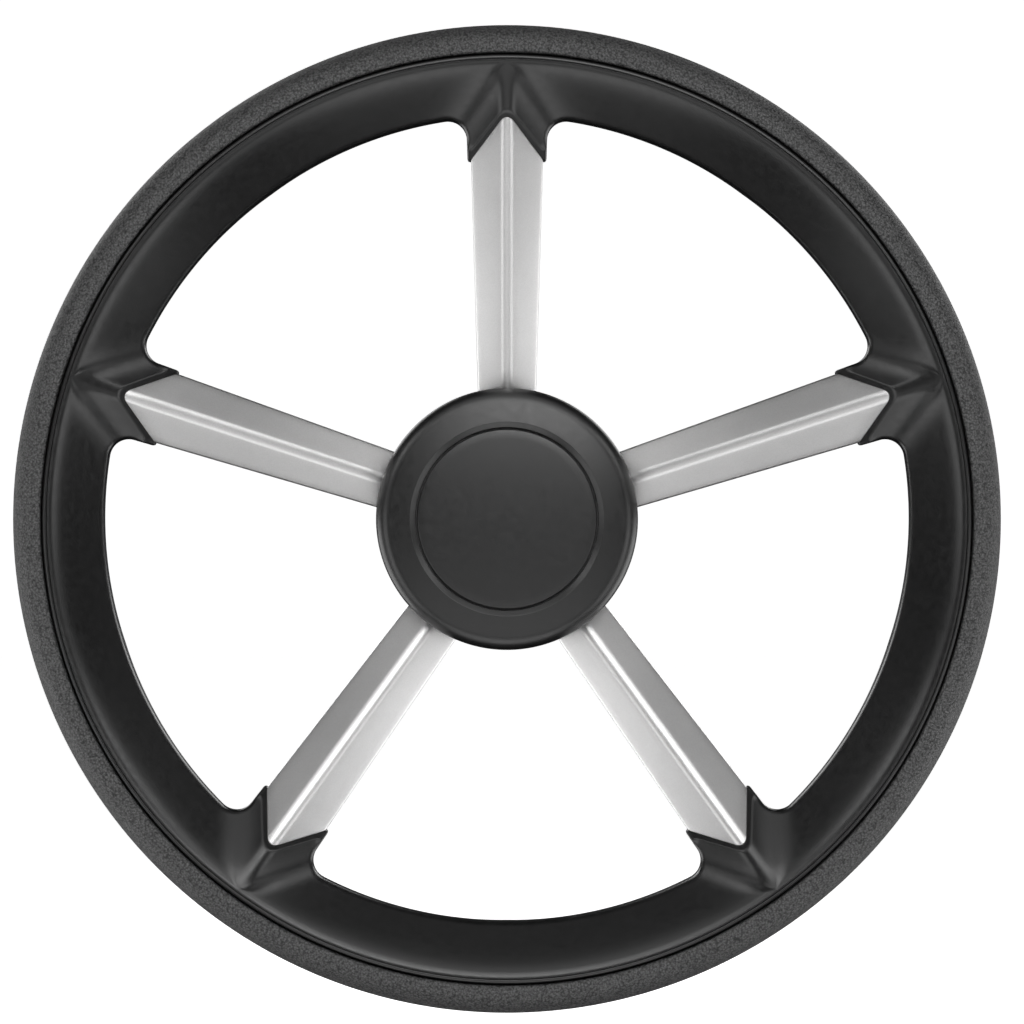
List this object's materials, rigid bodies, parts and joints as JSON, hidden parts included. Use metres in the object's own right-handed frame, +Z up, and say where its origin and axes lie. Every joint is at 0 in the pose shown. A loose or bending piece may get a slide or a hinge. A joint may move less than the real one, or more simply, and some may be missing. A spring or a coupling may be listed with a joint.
{
  "type": "boat steering wheel",
  "caption": "Dished boat steering wheel: black rim with a textured grip band, silver ridged spokes, round hub with a pull-off centre cap and a tapered keyed bore for the helm shaft.",
  "frame": {"origin": "on the helm shaft's axis, in the plane of the hub insert's rear seat", "axes": "-Y faces the helmsman, +Y points along the shaft towards the helm, +Z runs up along the upright spoke, +X is the helmsman's right"},
  "size_m": [0.35, 0.09, 0.35],
  "materials": {
    "black_moulding": "satin black moulding",
    "soft_grip": "fine stippled soft grip",
    "silver_paint": "satin metallic silver coat",
    "hub_plastic": "satin black",
    "cast_aluminium": "as cast",
    "steel": "stainless, machined",
    "ring_rubber": "plain black rubber"
  },
  "bodies": {
    "wheel": {"armature": "cast_aluminium", "hub_insert": "steel", "nut_washer": "steel", "shaft_nut": "steel", "rim_front_shell": "black_moulding", "rim_rear_shell": "black_moulding", "grip_ring": "soft_grip", "spoke_cover_1": "silver_paint", "spoke_cover_2": "silver_paint", "spoke_cover_3": "silver_paint", "spoke_cover_4": "silver_paint", "spoke_cover_5": "silver_paint", "spoke_back_1": "black_moulding", "spoke_back_2": "black_moulding", "spoke_back_3": "black_moulding", "spoke_back_4": "black_moulding", "spoke_back_5": "black_moulding", "spoke_screw_1": "steel", "spoke_screw_2": "steel", "spoke_screw_3": "steel", "spoke_screw_4": "steel", "spoke_screw_5": "steel", "hub_bezel": "hub_plastic", "hub_rear_cover": "hub_plastic", "hub_screw_1": "steel", "hub_screw_2": "steel", "hub_screw_3": "steel", "hub_screw_4": "steel", "hub_screw_5": "steel"},
    "cap": {"centre_cap": "hub_plastic", "cap_rubber_ring": "ring_rubber"}
  },
  "joints": [
    {"name": "cap_pull", "type": "slide", "parent": "wheel", "child": "cap", "axis": [0, -1, 0], "range_m": [0, 0.04]}
  ]
}
